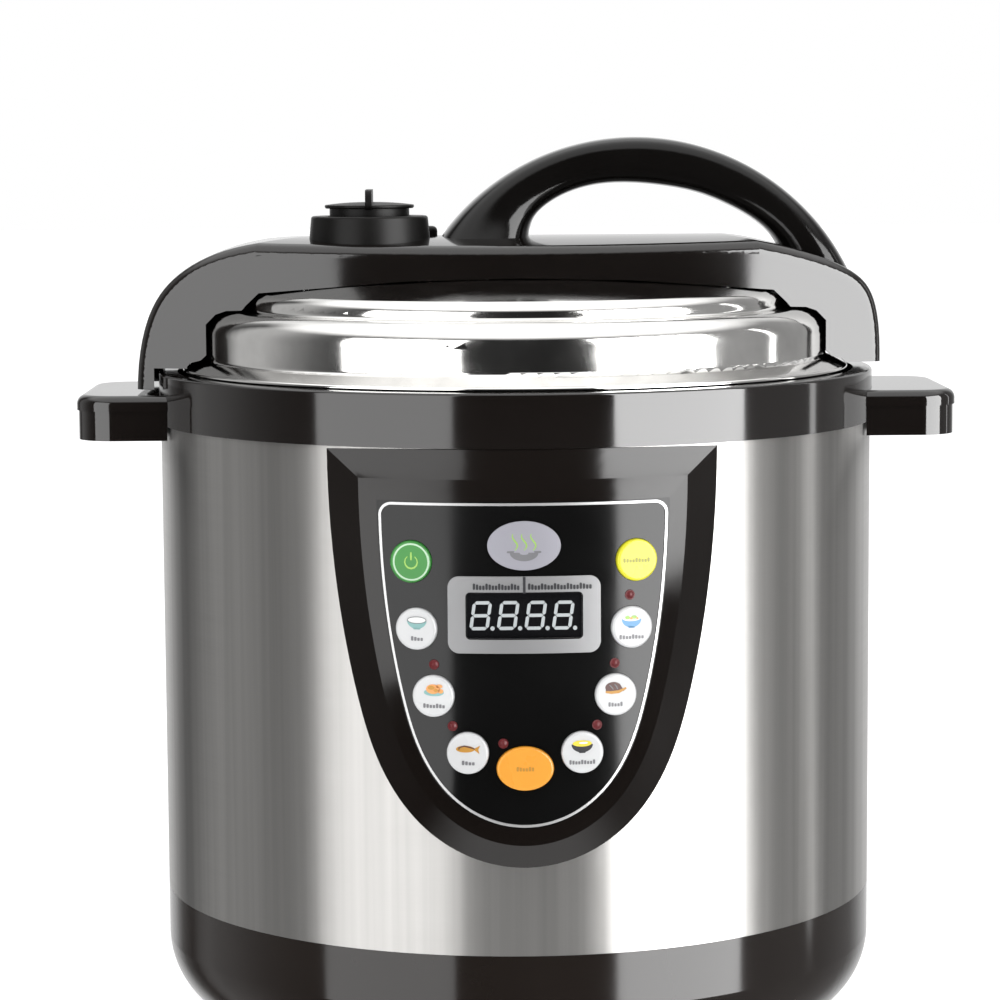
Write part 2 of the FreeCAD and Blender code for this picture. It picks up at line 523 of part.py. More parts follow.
board_size = (47.8, 109.0, 216.2)
board = shield_plate(BOARD_R, BOARD_R + BOARD_T, *board_size)
save("control_board", drill(board, *[plug(1.3, 120, 135, x, z) for x, z in POSTS_FACE]))
front = BOARD_R + BOARD_T + GAP
save("tact_switches", group(
    radial(fused(box(-3, 3, -front - 1.9, -front, z - 3, z + 3).cut(cyl(front, 90, 260)),
                 ycyl(1.7, -front - 1.8, -(STEM_END - PRESS - GAP - 0.1), 0, z)), x)
    for x, z in BUTTONS.values()))
chips = [box(-9, 9, -129, -126.6, 152, 162), box(-16, 16, -128.5, -124, 196, 202),
         box(-30, -12, -126, -121, 168, 174), box(14, 26, -126.5, -123.5, 166, 174)]
save("board_components", group(c.common(tube(100, BOARD_R - GAP, 60, 240)) for c in chips))
board_screws += [radial(screw(2.2, 1.4, 1.0, 5, (0, -(BOARD_R - GAP), z), (0, -1, 0)), x)
                 for x, z in POSTS_FACE]
save("board_screws", group(board_screws))

# ---- leads between the boards, inlet and element ---------------------------
legs_xy = [polar(ELEMENT_R, a) for a in LEG_ANGLES]
save("wiring_harness", group([
    wire_lead(1.3, [(x, 116.5, z), (x * 1.3, 100, z - 2), (x * 2.2 + 2, 84, 29), (x * 2 + 14, 70, 28)])
    for x, z in ((-7, 34.5), (7, 34.5))] + [
    wire_lead(1.3, [(lx, ly - 2, 52), (lx, ly - 6, 46), (lx * 0.8 + 4, ly - 14, 40)])
    for lx, ly in legs_xy] + [
    wire_lead(1.1, [(44 + d, 10, 24), (58 + d, -40, 26), (52 + d, -100, 46), (40 + d, -114, 90),
                    (22 + d, -121.5, 140), (14 + d, -122.0, 170)]) for d in (0, 2.6, 5.2)]))

# ---- inner pot -------------------------------------------------------------
r, t, zl = POT_R, POT_T, Z_POT_LOW
k = 12 * (1 - math.sqrt(0.5))
pot = lathe((0, zl), (r - 12, zl), ((r - k, zl + k), (r, zl + 12)), (r, Z_PSHELL_TOP - 1.5),
            ((r + 0.5, Z_PSHELL_TOP - 0.4), (r + 1.6, Z_PSHELL_TOP + GAP)),
            (POT_RIM_R - 0.6, Z_PSHELL_TOP + GAP), ((POT_RIM_R, 249.67), (POT_RIM_R - 0.6, Z_POT_RIM)),
            (r + 0.8, Z_POT_RIM), ((r - 0.7, Z_POT_RIM - 0.6), (r - t, Z_POT_RIM - 2.2)),
            (r - t, zl + 12), ((r - t - k + 0.35, zl + k + 0.85), (r - 12, zl + t)), (0, zl + t))
save("inner_pot", pot)

# ---- lid liner: plate, sealing ring, grommet -------------------------------
liner = lathe((7.05, 259), (97, 259), ((100.5, 257.8), (102.2, 254.8)), ((103.0, 252.7), (105, 251.85)),
              (113, 251.85), (113, 253.05), (105.8, 253.05), ((104.2, 253.9), (103.4, 255.2)),
              ((101.4, 258.7), (97.2, 260.2)), (7.05, 260.2))
liner = drill(liner, *[cyl(3, 250, 265, *polar(58, 45 * k + 22.5)) for k in range(8)])
save("liner_plate", liner)
seal_low = Z_POT_RIM + GAP
save("sealing_ring", lathe((108, seal_low), (117.4, seal_low), ((118.0, 250.6), (118.2, 251.2)),
                           (118.2, 257.5), ((118.0, 258.1), (117.4, 258.3)), (109, 258.3),
                           (109, 256.8), (114.4, 256.8), ((115.2, 256.5), (115.5, 255.7)),
                           (115.5, 252.8), ((115.2, 252.1), (114.4, 251.8)), (108, 251.8)))
PIN_R = 4.0
save("liner_grommet", lathe((PIN_R + GAP, 257), (9, 257), (9.6, 257.6), (9.6, 259 - GAP),
                            (7, 259 - GAP), (7, 260.2 + GAP), (9, 260.2 + GAP), (9, 262),
                            (PIN_R + GAP, 262)))

# ---- lid -------------------------------------------------------------------
RIM_OUTSIDE = [(125.5, 255.2), ((126.0, 256.3), (127.2, Z_FLANGE)), ((128.3, 257.7), (127.4, 258.7))]
RIM_INSIDE = [(124.1, 257.2), ((123.9, 258.2), (123.2, 258.9))]


def lid_body(t, rim):
    """Volume under the lid's skin, set in by t, with the given outline at its rolled rim."""
    z_edge = Z_APEX - 101.5 ** 2 / (2 * DOME_R)
    mid = Z_APEX - 52.0 ** 2 / (2 * DOME_R)
    return lathe((0, 230), (rim[0][0], 230), *rim,
                 (BAND_R + 1.6 - t, Z_BAND_LOW - 0.6 - t),
                 ((BAND_R + 0.4 - t, Z_BAND_LOW + 0.1 - t), (BAND_R - t, Z_BAND_LOW + 1.2 - t)),
                 (BAND_R - t, Z_BAND_TOP - t * 0.3),
                 ((BAND_R - 2.5 - t * 0.8, Z_BAND_TOP + 6.5 - t * 0.7),
                  (BAND_R - 8.4 - t * 0.3, Z_LEDGE - 0.2 - t)),
                 (CROWN_R + 1.6 - t, Z_LEDGE - t),
                 ((CROWN_R + 0.5 - t, Z_LEDGE + 0.4 - t), (CROWN_R - t, Z_LEDGE + 1.5 - t)),
                 ((CROWN_R - 1.0 - t * 0.8, Z_LEDGE + 4.6 - t * 0.8), (101.5 - t * 0.4, z_edge - t)),
                 ((52, mid - t), (0, Z_APEX - t)))


lid = lid_body(0, RIM_OUTSIDE).cut(lid_body(LID_T, RIM_INSIDE)).cut(cyl(140, 220, 240.5))
teeth = [sector(118.0, 124.6, 241, 244, 15.5, (k + 0.5) * 360 / TEETH) for k in range(TEETH)]
BOSSES = [(sx * 80, sy * 24) for sx in (-1, 1) for sy in (-1, 1)]
lid = fused(lid, *teeth)
lid = drill(lid, cyl(4.6, 280, 300, VALVE_X, VALVE_Y), cyl(3.0, 280, 300, FLOAT_X, FLOAT_Y),
            *[cyl(2.2, 280, 300, x, y) for x, y in BOSSES])
save("lid", lid)
save("liner_pin", fused(cyl(PIN_R, 254, 290), cyl(5.6, 253.5, 256.9),
                        lathe((0, 288.5), (9, 288.5), (10, 289.5), (10, 292.65), (0, 292.65))))


# ---- bridge across the lid -------------------------------------------------
def lens(inset):
    """The bridge's plan, set in from its outside: two shallow arcs that meet far outside it."""
    far = BRIDGE_PLAN_R - BRIDGE_HALF
    return cyl(BRIDGE_PLAN_R - inset, 200, 400, 0, far).common(
        cyl(BRIDGE_PLAN_R - inset, 200, 400, 0, -far))


def bridge_skin(t, inset):
    """Volume of the bridge set in by t: arched profile under a crowned top, bulging in plan."""
    profile = [(-144.1, 240), (-142.9, 268), (-134.6, 288), (-117, 301.2), (-93, 307.2),
               (-60, 309.4), (60, 309.4), (88, 307.0), (108, 302.4), (124.8, 296.0),
               (133.2, 289.8), (137.6, 280), (140.2, 240)]
    pts = []
    for x, z in profile:
        d = math.hypot(x, z - 225)
        pts.append((x * (1 - t / d), z - t * (z - 225) / d))
    left, right = pts[:6], pts[6:]
    edges = [spline(left), Part.makeLine(*(V(x, 0, z) for x, z in (left[-1], right[0]))),
             spline(right), Part.makeLine(*(V(x, 0, z) for x, z in (right[-1], left[0])))]
    crown_r = BRIDGE_HALF ** 2 / (2 * BRIDGE_CROWN)
    crown = Part.makeCylinder(crown_r - t, 400, V(-200, 0, Z_BRIDGE - crown_r), V(1, 0, 0))
    return prism_y(edges, -60, 60).common(crown).common(lens(inset))


CONTOUR = [(124.9, 259.9), (123.6, 261.4), (119.6, 262.4), (117.4, 264.4), (117.4, 276.0),
           (113.6, 279.8), (109.5, 281.2), (103.5, 281.4), (102.0, 283.2), (97.0, 287.9),
           (81, 289.2), (43, 292.2), (0, 293.2)]
under = [(200, 259.2)] + CONTOUR + [(-x, z) for x, z in reversed(CONTOUR[:-1])]
under += [(-124.7, 251), (-200, 251), (-200, 200), (200, 200)]
bridge_outer = bridge_skin(0, 0)
fascias = [f for f in bridge_outer.Faces if isinstance(f.Surface, Part.Cylinder)
           and abs(f.Surface.Radius - BRIDGE_PLAN_R) < 1]
shoulder = [e for f in fascias for e in f.Edges if e.BoundBox.ZMax > 250]
bridge_outer = bridge_outer.makeFillet(BRIDGE_ROUND, shoulder)
bridge = bridge_outer.cut(bridge_skin(BRIDGE_WALL, 2.6))
bridge = bridge.cut(prism_y(polygon(under), -60, 60)).cut(cyl(139.9, 200, 259.2))
HANDLE_SCREWS = [(x, y, z) for x, z in ((-14, 300.0), (106, 294.5)) for y in (-8, 8)]
bosses = [cyl(6, 290.3, 306, x, y) for x, y in BOSSES]
bosses += [cyl(5, z + GAP, 306, x, y) for x, y, z in HANDLE_SCREWS]
bridge = max(bridge.Solids, key=lambda s: s.Volume)
bridge = bridge.multiFuse([b.common(bridge_outer) for b in bosses])
bridge = drill(bridge, *[cyl(2.05, 289, 301, x, y) for x, y in BOSSES],
               cyl(9, 290, 315, VALVE_X, VALVE_Y), cyl(2.9, 290, 315, FLOAT_X, FLOAT_Y),
               *[cyl(2.2, 290, 315, x, y) for x, y, _ in HANDLE_SCREWS])
save("lid_bridge", bridge)
lid_fasteners = [screw(4, 2.4, 2.0, 12, (x, y, 287.3), (0, 0, 1)) for x, y in BOSSES]

# ---- arched lid handle -----------------------------------------------------
# Each station gives the arch's outside and inside in the XZ plane, and its half width. The
# first and last lie inside the bridge, whose top then trims the two feet.
ARCH_Z = ARCH_TOP - ARCH_R
GRIP_HALF = 15.0
STATIONS = [(151, (2.8, 292), 28), (146, (4.8, 303), 24.5), (138, (5.8, 310.0), 20.5),
            (128, (7.8, 315.3), 17.5), (117, (13.5, 320.6), 15.8), (105, (26, 326.2), GRIP_HALF),
            (90, (45, 328), GRIP_HALF), (75, (64, 325.7), GRIP_HALF), (61, (81.5, 319.8), 15.8),
            (48, (93.5, 312.9), 17.6), (37, (100.5, 306), 19.8), (23, (104, 292), 22.0)]


def arch_section(angle, inside, half):
    """Rounded closed outline across the arch, from its outer circle to the point inside."""
    x, z = polar(ARCH_R, angle)
    top, low = V(ARCH_X + x, 0, ARCH_Z + z), V(inside[0], 0, inside[1])
    centre, reach_out = (top + low) * 0.5, (top - low) * 0.5
    ring = []
    for k in range(24):
        c, n = math.cos(k * math.pi / 12), math.sin(k * math.pi / 12)
        squared = (abs(c) ** 3.2 + abs(n) ** 3.2) ** (-1 / 3.2)
        ring.append(centre + reach_out * (c * squared) + V(0, half * n * squared, 0))
    curve = Part.BSplineCurve()
    curve.interpolate(ring, PeriodicFlag=True)
    return Part.Wire(curve.toShape())


arch = Part.makeLoft([arch_section(*station) for station in STATIONS], True).cut(bridge_outer)
arch = max(arch.Solids, key=lambda s: s.Volume)
GUARD_R = 5.8
arch = drill(arch, cyl(GUARD_R + 0.3, 290, 330, FLOAT_X, FLOAT_Y),
             *[cyl(1.8, 300, 318, x, y) for x, y, _ in HANDLE_SCREWS])
save("lid_handle", arch)
lid_fasteners += [screw(4, 2.2, 1.7, 16, (x, y, z), (0, 0, 1)) for x, y, z in HANDLE_SCREWS]

# ---- pressure valve --------------------------------------------------------
vx, vy = VALVE_X, VALVE_Y


def at_valve(shape):
    shape.translate(V(vx, vy, 0))
    return shape


housing = at_valve(lathe((15.8, 300), (23.8, 300), (22.3, 315.2), ((22.0, 315.9), (21.3, 316.2)),
                         (15.8, 316.2)))
save("valve_housing", max(housing.cut(bridge_outer).Solids, key=lambda s: s.Volume))
pipe = at_valve(lathe((1.6, 283), (4.5, 283), (4.5, 310.5), (2.6, 314), (1.6, 314)))
save("vent_pipe", pipe)
lid_fasteners.append(hex_nut(14, 285.4, 289.6, vx, vy, 4.5 + GAP))
save("lid_fasteners", group(lid_fasteners))
shield_cup = at_valve(lathe((0, 268), (11, 268), (12, 269), (12, 285), (10.6, 285), (10.6, 269.6),
                            (0, 269.6)))
ports = [turned(box(vx + 8, vx + 14, vy - 1.4, vy + 1.4, 272, 281), 30 * k, V(vx, vy, 0))
         for k in range(12)]
cage_top = tube(8.4, 12, 284.2, 285.35, vx, vy)
save("vent_shield", fused(drill(shield_cup, *ports), cage_top))
knob = at_valve(lathe((5, 308.6), (7, 308.6), (7, 317), (12, 317), (12, 309.6), (15.2, 309.6),
                      (15.2, 319.1), (16.5, 319.1), ((17, 319.6), (16.8, 320.4)),
                      ((9, 321.2), (0, 321.4)), (0, 317.4), (5, 317.4)))
fin = round_box(vx - 1.2, vx + 1.2, vy - 18.2, vy + 11, 318.6, 326.2, 2.8, "x")
fin = fin.cut(cyl(16.2, 317, 320, vx, vy))
knob = fused(knob, fin)
save("pressure_valve", knob)
save("valve_weight", tube(7 + GAP, 12 - GAP, 310, 317 - GAP, vx, vy))

# ---- float valve -----------------------------------------------------------
guard = Part.makeCylinder(GUARD_R, 15, V(FLOAT_X, FLOAT_Y, 296.6), UP)
guard = guard.makeFillet(2.0, [e for e in guard.Edges if e.BoundBox.ZMin > 311])
guard = guard.cut(cyl(2.9, 290, 320, FLOAT_X, FLOAT_Y)).cut(bridge_outer)
save("float_guard", max(guard.Solids, key=lambda s: s.Volume))
save("float_valve", fused(cyl(2.4, 270, 309, FLOAT_X, FLOAT_Y), cyl(5, 268, 271, FLOAT_X, FLOAT_Y)))
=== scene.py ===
"""Looks for the electric pressure cooker: materials, printed details, light and camera."""
import json
import math

import bpy
from mathutils import Matrix, Vector


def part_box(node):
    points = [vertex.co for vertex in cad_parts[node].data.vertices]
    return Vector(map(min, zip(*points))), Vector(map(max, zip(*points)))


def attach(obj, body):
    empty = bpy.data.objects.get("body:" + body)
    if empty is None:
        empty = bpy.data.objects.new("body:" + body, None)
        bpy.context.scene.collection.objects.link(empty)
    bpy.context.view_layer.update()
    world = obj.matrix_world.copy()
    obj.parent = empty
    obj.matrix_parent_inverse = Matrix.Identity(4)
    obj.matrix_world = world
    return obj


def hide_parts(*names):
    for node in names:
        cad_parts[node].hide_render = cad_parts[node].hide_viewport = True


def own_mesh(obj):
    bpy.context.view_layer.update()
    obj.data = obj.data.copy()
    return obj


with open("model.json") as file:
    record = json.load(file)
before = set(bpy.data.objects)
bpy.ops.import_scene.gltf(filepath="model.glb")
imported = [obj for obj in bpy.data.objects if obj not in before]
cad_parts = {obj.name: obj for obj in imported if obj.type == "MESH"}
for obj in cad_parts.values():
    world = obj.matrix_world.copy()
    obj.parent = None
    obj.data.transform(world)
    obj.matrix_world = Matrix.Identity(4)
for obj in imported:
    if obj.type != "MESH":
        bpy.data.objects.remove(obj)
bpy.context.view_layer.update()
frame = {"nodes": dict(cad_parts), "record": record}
nodes = frame["nodes"]
MM = 0.001


# ---- node helpers -----------------------------------------------------------
def new_material(name, color, roughness, metallic=0.0, **inputs):
    """A Principled material with constant values on its own sockets."""
    mat = bpy.data.materials.new(name)
    mat.use_nodes = True
    shader = mat.node_tree.nodes["Principled BSDF"]
    shader.inputs["Base Color"].default_value = (*color, 1)
    shader.inputs["Roughness"].default_value = roughness
    shader.inputs["Metallic"].default_value = metallic
    for key, value in inputs.items():
        shader.inputs[key.replace("_", " ")].default_value = value
    return mat


def add(mat, kind, **values):
    """A new node of a material, with its properties set."""
    node = mat.node_tree.nodes.new(kind)
    for key, value in values.items():
        setattr(node, key, value)
    return node


def link(mat, a, out, b, into):
    """Joins output `out` of node a to input `into` of node b."""
    mat.node_tree.links.new(a.outputs[out], b.inputs[into])


def plain_coords(mat):
    """Object coordinates."""
    mapping = add(mat, "ShaderNodeMapping")
    link(mat, add(mat, "ShaderNodeTexCoord"), "Object", mapping, "Vector")
    return mapping


def round_coords(mat, around, up):
    """Angle about Z and height, each scaled by its own factor."""
    where = add(mat, "ShaderNodeTexCoord")
    split = add(mat, "ShaderNodeSeparateXYZ")
    link(mat, where, "Object", split, "Vector")
    angle = add(mat, "ShaderNodeMath", operation="ARCTAN2")
    link(mat, split, "Y", angle, 0)
    link(mat, split, "X", angle, 1)
    join = add(mat, "ShaderNodeCombineXYZ")
    for source, out, factor, into in ((angle, 0, around, "X"), (split, "Z", up, "Z")):
        scaled = add(mat, "ShaderNodeMath", operation="MULTIPLY")
        scaled.inputs[1].default_value = factor
        link(mat, source, out, scaled, 0)
        link(mat, scaled, 0, join, into)
    return join


def noise(mat, vector, scale, detail=4.0):
    """A noise texture read at the given coordinates."""
    tex = add(mat, "ShaderNodeTexNoise")
    tex.inputs["Scale"].default_value = scale
    tex.inputs["Detail"].default_value = detail
    link(mat, vector, "Vector", tex, "Vector")
    return tex


def spread(mat, tex, low, high, into):
    """Drives a shader input with a texture, spread between two values."""
    ramp = add(mat, "ShaderNodeMapRange")
    ramp.inputs["From Min"].default_value = 0.3
    ramp.inputs["From Max"].default_value = 0.7
    ramp.inputs["To Min"].default_value = low
    ramp.inputs["To Max"].default_value = high
    link(mat, tex, "Fac", ramp, "Value")
    link(mat, ramp, "Result", mat.node_tree.nodes["Principled BSDF"], into)


def tint(mat, tex, dark, light):
    """Drives the base colour with a texture, from one colour to another."""
    ramp = add(mat, "ShaderNodeValToRGB")
    for stop, position, color in zip(ramp.color_ramp.elements, (0.35, 0.65), (dark, light)):
        stop.position = position
        stop.color = (*color, 1)
    link(mat, tex, "Fac", ramp, "Fac")
    link(mat, ramp, "Color", mat.node_tree.nodes["Principled BSDF"], "Base Color")


def bump(mat, tex, strength, distance):
    """Fine relief from a texture; distance is its depth in metres."""
    node = add(mat, "ShaderNodeBump")
    node.inputs["Strength"].default_value = strength
    node.inputs["Distance"].default_value = distance
    link(mat, tex, "Fac", node, "Height")
    link(mat, node, "Normal", mat.node_tree.nodes["Principled BSDF"], "Normal")


def moulded(name, color, rough, grain, depth, wear, ior=1.45):
    """Moulded plastic: fine surface texture and uneven sheen.

    grain is the texture's fineness, depth its strength, and wear how far the sheen varies.
    """
    mat = new_material(name, color, rough, IOR=ior)
    tex = noise(mat, plain_coords(mat), grain, 3)
    bump(mat, tex, depth, 0.00004)
    broad = noise(mat, plain_coords(mat), 18.0, 5)
    spread(mat, broad, rough * (1 - wear), rough * (1 + wear), "Roughness")
    tint(mat, broad, color, tuple(c * 1.2 + 0.0005 for c in color))
    return mat


def satin(name, color, rough, metallic):
    """Satin silver print or foil: an even, very fine grain with a soft sheen."""
    mat = new_material(name, color, rough, metallic)
    fine = noise(mat, plain_coords(mat), 5000.0, 2)
    spread(mat, fine, rough * 0.9, rough * 1.1, "Roughness")
    broad = noise(mat, plain_coords(mat), 35.0, 2)
    tint(mat, broad, tuple(c * 0.93 for c in color), color)
    bump(mat, fine, 0.04, 0.00001)
    return mat


def metal(name, color, rough, grain=400.0):
    """Plain metal with a faint worked texture."""
    mat = new_material(name, color, rough, 1.0)
    tex = noise(mat, plain_coords(mat), grain, 4)
    spread(mat, tex, rough * 0.7, rough * 1.35, "Roughness")
    tint(mat, tex, tuple(c * 0.88 for c in color), color)
    bump(mat, tex, 0.12, 0.00003)
    return mat


def brushed(name, color, rough, anisotropy):
    """Steel brushed round the axis, with the highlight drawn out up and down."""
    mat = new_material(name, color, rough, 1.0, Anisotropic=anisotropy, Anisotropic_Rotation=0.25)
    tangent = add(mat, "ShaderNodeTangent", direction_type="RADIAL", axis="Z")
    link(mat, tangent, "Tangent", mat.node_tree.nodes["Principled BSDF"], "Tangent")
    lines = noise(mat, round_coords(mat, 2.5, 5200.0), 1.0, 5)
    streaks = noise(mat, round_coords(mat, 26.0, 2.0), 1.0, 3)
    spread(mat, lines, rough * 0.9, rough * 1.1, "Roughness")
    tint(mat, streaks, tuple(c * 0.86 for c in color), color)
    bump(mat, lines, 0.012, 0.00002)
    return mat


# ---- materials ---------------------------------------------------------------
looks = {
    "black_gloss": moulded("gloss_black", (0.0060, 0.0046, 0.0040), 0.08, 500.0, 0.05, 0.3, 1.62),
    "black_moulding": moulded("moulded_black", (0.0030, 0.0026, 0.0023), 0.36, 800.0, 0.12, 0.2, 1.26),
    "panel_black": moulded("panel_black", (0.0060, 0.0045, 0.0038), 0.10, 500.0, 0.05, 0.3, 1.42),
    "brushed_steel": brushed("brushed_steel", (0.52, 0.51, 0.495), 0.40, 1.0),
    "polished_steel": metal("polished_steel", (0.86, 0.85, 0.83), 0.09, 60.0),
    "plated_steel": metal("plated_steel", (0.58, 0.58, 0.59), 0.28),
    "cast_aluminium": metal("cast_aluminium", (0.62, 0.62, 0.63), 0.42, 900.0),
    "pot_metal": brushed("pot_metal", (0.66, 0.66, 0.65), 0.32, 0.5),
    "spring_steel": metal("spring_steel", (0.5, 0.49, 0.47), 0.3, 700.0),
    "rubber": moulded("rubber", (0.02, 0.02, 0.02), 0.7, 1500.0, 0.5, 0.15),
    "silicone": moulded("silicone", (0.72, 0.74, 0.75), 0.38, 900.0, 0.2, 0.2),
    "silver_trim": satin("silver_trim", (0.55, 0.55, 0.55), 0.35, 0.6),
    "badge_silver": satin("badge_silver", (0.36, 0.355, 0.40), 0.42, 0.3),
    "led_window": moulded("led_window", (0.006, 0.006, 0.007), 0.12, 500.0, 0.05, 0.3),
    "segment_white": moulded("segment_white", (0.42, 0.45, 0.46), 0.4, 900.0, 0.1, 0.2),
    "led_red": moulded("led_red", (0.11, 0.006, 0.009), 0.45, 900.0, 0.1, 0.3, 1.35),
    "button_white": moulded("button_white", (0.60, 0.605, 0.61), 0.30, 1200.0, 0.1, 0.2),
    "button_green": moulded("button_green", (0.035, 0.215, 0.035), 0.30, 1200.0, 0.1, 0.2),
    "button_yellow": moulded("button_yellow", (0.72, 0.69, 0.025), 0.30, 1200.0, 0.1, 0.2),
    "button_orange": moulded("button_orange", (0.80, 0.33, 0.030), 0.30, 1200.0, 0.1, 0.2),
    "board_green": moulded("board_green", (0.015, 0.10, 0.04), 0.35, 1500.0, 0.4, 0.2),
    "component_dark": moulded("component_dark", (0.03, 0.03, 0.032), 0.4, 1500.0, 0.3, 0.2),
    "brass": metal("brass", (0.72, 0.52, 0.22), 0.25),
    "cup_clear": moulded("cup_clear", (0.62, 0.65, 0.67), 0.25, 900.0, 0.1, 0.2),
    "wire_insulation": moulded("wire_insulation", (0.35, 0.02, 0.02), 0.45, 1500.0, 0.3, 0.2),
}
SOFT_LIGHT = {"silicone": ("Subsurface Weight", 0.25), "cup_clear": ("Transmission Weight", 0.55)}
for look, (socket, weight) in SOFT_LIGHT.items():
    looks[look].node_tree.nodes["Principled BSDF"].inputs[socket].default_value = weight

# Pieces whose surface differs from the rest of their slot.
own_look = {
    "base": moulded("base_black", (0.0120, 0.0092, 0.0078), 0.10, 500.0, 0.05, 0.2, 1.43),
    "panel_face": moulded("face_film", (0.0035, 0.0035, 0.0035), 0.12, 500.0, 0.03, 0.3, 1.37),
    "display_label": satin("label_silver", (0.30, 0.30, 0.305), 0.40, 0.45),
    "lid_handle": moulded("handle_black", (0.0040, 0.0035, 0.0032), 0.11, 500.0, 0.05, 0.3, 1.35),
}
slot_of = {s["node"]: s["material_slot"] for s in frame["record"]["subparts"]}
for name, obj in nodes.items():
    obj.data.materials.clear()
    obj.data.materials.append(own_look.get(name, looks[slot_of[name]]))

# The sensor's spring is shown by a copy with a mesh of its own, attached to the cooker.
spring = bpy.data.objects.new("sensor_coil", nodes["sensor_spring"].data.copy())
bpy.context.scene.collection.objects.link(spring)
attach(spring, "cooker")
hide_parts("sensor_spring")
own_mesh(spring)

# ---- printed pictures and captions ------------------------------------------------
# Sizes here are in mm; x runs to the right and z up, as seen from in front.
PRINT = 0.08                              # how far a printed layer stands proud
SUNK = 0.1                                # share of that height left between two layers
INK_COLORS = {
    "dark": (0.030, 0.030, 0.034), "grey": (0.17, 0.17, 0.18), "olive": (0.30, 0.29, 0.02),
    "white": (0.80, 0.82, 0.80), "mint": (0.22, 0.42, 0.41), "blue": (0.10, 0.30, 0.55),
    "leaf": (0.30, 0.52, 0.10), "roast": (0.75, 0.33, 0.10), "brown": (0.085, 0.035, 0.030),
    "gold": (0.50, 0.24, 0.03), "yellow": (0.78, 0.62, 0.04),
}
inks = {name: moulded("ink_" + name, color, 0.35, 1500.0, 0.1, 0.2) for name, color in INK_COLORS.items()}
inks["black"] = moulded("ink_black", (0.006, 0.006, 0.007), 0.2, 1500.0, 0.05, 0.2)
# Pale green ink for the painted highlight round the power button's rim.
inks["rim_highlight_green"] = moulded("ink_pale_green", (0.42, 0.60, 0.42), 0.3, 1500.0, 0.1, 0.2)


def ellipse(x, z, a, b, start=0.0, end=360.0, steps=36):
    """Points of an ellipse or, with start and end, of a part closed by its chord."""
    full = abs(end - start - 360) < 1e-6
    count = steps if full else steps + 1
    turns = [math.radians(start + (end - start) * k / steps) for k in range(count)]
    return [(x + a * math.cos(t), z + b * math.sin(t)) for t in turns]


def stroke(points, width):
    """Outline of an open line of the given width, thinner towards both ends."""
    left, right = [], []
    last = len(points) - 1
    tip = 0.35                            # share of the width that is left at the very ends
    for k, (x, z) in enumerate(points):
        ax, az = points[max(k - 1, 0)]
        bx, bz = points[min(k + 1, last)]
        length = math.hypot(bx - ax, bz - az)
        half = width / 2 * (tip + (1 - tip) * math.sin(math.pi * (k + 0.5) / (last + 1)))
        nx, nz = -(bz - az) / length * half, (bx - ax) / length * half
        left.append((x + nx, z + nz))
        right.append((x - nx, z - nz))
    return left + right[::-1]


def bar(x, z, width, height):
    """A level bar with round ends."""
    r = height / 2
    return (ellipse(x + width / 2 - r, z, r, r, -90, 90, 8)
            + ellipse(x - width / 2 + r, z, r, r, 90, 270, 8))


def bowl(x, z, a, b):
    """The lower half of an ellipse."""
    return ellipse(x, z, a, b, 180, 360, 18)


def rounded(width, height, r, steps=6, parts=1):
    """Upright rectangle about the origin with rounded corners, each edge cut into `parts`."""
    corners = []
    for k, (sx, sz) in enumerate(((1, 1), (-1, 1), (-1, -1), (1, -1))):
        corners += ellipse(sx * (width / 2 - r), sz * (height / 2 - r), r, r,
                           90 * k, 90 * k + 90, steps)
    return [(ax + (bx - ax) * k / parts, az + (bz - az) * k / parts)
            for (ax, az), (bx, bz) in zip(corners, corners[1:] + corners[:1])
            for k in range(parts)]


def moved(outlines, dx, dz=0.0):
    """The outlines, shifted."""
    return [[(px + dx, pz + dz) for px, pz in outline] for outline in outlines]


def wound(outline):
    """The outline with its points in counter-clockwise order."""
    area = sum(p[0] * q[1] - q[0] * p[1] for p, q in zip(outline, outline[1:] + outline[:1]))
    return outline if area > 0 else outline[::-1]


def plate(outline, base):
    """Faces of one closed plate whose front points start at `base`, the back ones after them."""
    n = len(outline)
    walls = [[base + (k + 1) % n, base + k, base + n + k, base + n + (k + 1) % n] for k in range(n)]
    return [[base + k for k in range(n)], [base + n + k for k in reversed(range(n))]] + walls


def band(outer, inner, base):
    """Faces of one closed ring: front points, outer then inner, and the back ones after them."""
    n, faces = len(outer), []
    for k in range(n):
        a, b = base + k, base + (k + 1) % n
        faces += [[a, b, b + n, a + n], [a + 2 * n, a + 3 * n, b + 3 * n, b + 2 * n],
                  [b, a, a + 2 * n, b + 2 * n], [a + n, b + n, b + 3 * n, a + 3 * n]]
    return faces


def printed(name, body, ink, outlines, height, front, angle=0.0, layer=0, curve=False):
    """Thin raised print about a height, laid on a surface that is `front` from the axis.

    The surface is a plane turned to `angle` or, with curve, a cylinder. An outline is a list of
    points, or a pair of such lists for the two edges of a ring.
    """
    verts, faces = [], []
    c, s = math.cos(angle), math.sin(angle)
    lift = PRINT * (layer + 1)
    for outline in outlines:
        if isinstance(outline, tuple):
            points = outline[0] + outline[1]
            faces += band(*outline, len(verts))
        else:
            points = wound(outline)
            faces += plate(points, len(verts))
        for depth in (lift, lift - PRINT * (1 - SUNK)):
            r = front + depth
            for px, pz in points:
                if curve:
                    x, y = px, -math.sqrt(r * r - px * px)
                else:
                    x, y = px * c + r * s, px * s - r * c
                verts.append((x * MM, y * MM, (pz + height) * MM))
    mesh = bpy.data.meshes.new(name)
    mesh.from_pydata(verts, [], faces)
    mesh.materials.append(inks[ink])
    obj = bpy.data.objects.new(name, mesh)
    bpy.context.scene.collection.objects.link(obj)
    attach(obj, body)


def ring(x, z, a, b, width):
    """A flat ring for `printed`."""
    return (ellipse(x, z, a, b), ellipse(x, z, a - width, b - width))


